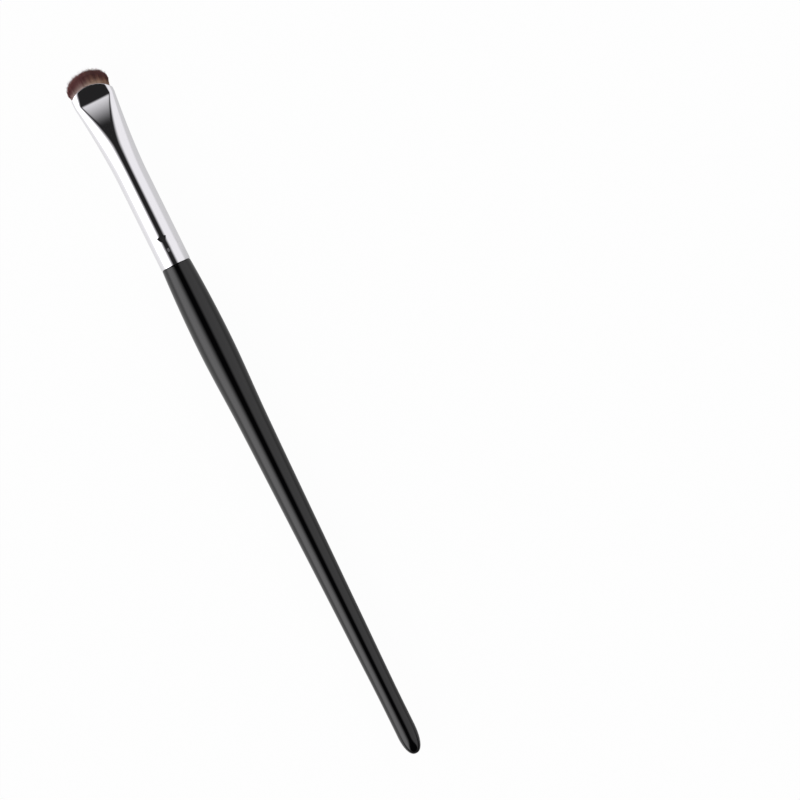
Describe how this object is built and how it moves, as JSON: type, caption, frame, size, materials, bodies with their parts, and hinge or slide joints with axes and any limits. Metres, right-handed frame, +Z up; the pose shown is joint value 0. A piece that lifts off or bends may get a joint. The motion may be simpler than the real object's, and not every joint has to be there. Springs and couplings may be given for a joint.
{
  "type": "eyeliner brush",
  "caption": "Flat dome-cut eye make-up brush: short dense brown hair in a flattened plated ferrule, on a long tapered black lacquered wooden handle.",
  "frame": {"origin": "on the table under the middle of the brush: the centre of its bounding box along X and Y, at its lowest point, which is under the handle's belly", "axes": "+X along the brush from the tail to the hair, +Z up, square to the wide faces of the ferrule's mouth, +Y across the mouth's width"},
  "size_m": [0.1694, 0.01, 0.008],
  "materials": {
    "lacquered_wood": "gloss",
    "adhesive": "satin",
    "plating": "polished",
    "resin": "gloss",
    "hair": "satin"
  },
  "bodies": {
    "root": {"handle": "lacquered_wood", "tenon_glue": "adhesive", "ferrule": "plating", "root_plug": "resin", "bristle_tuft": "hair"}
  },
  "joints": []
}
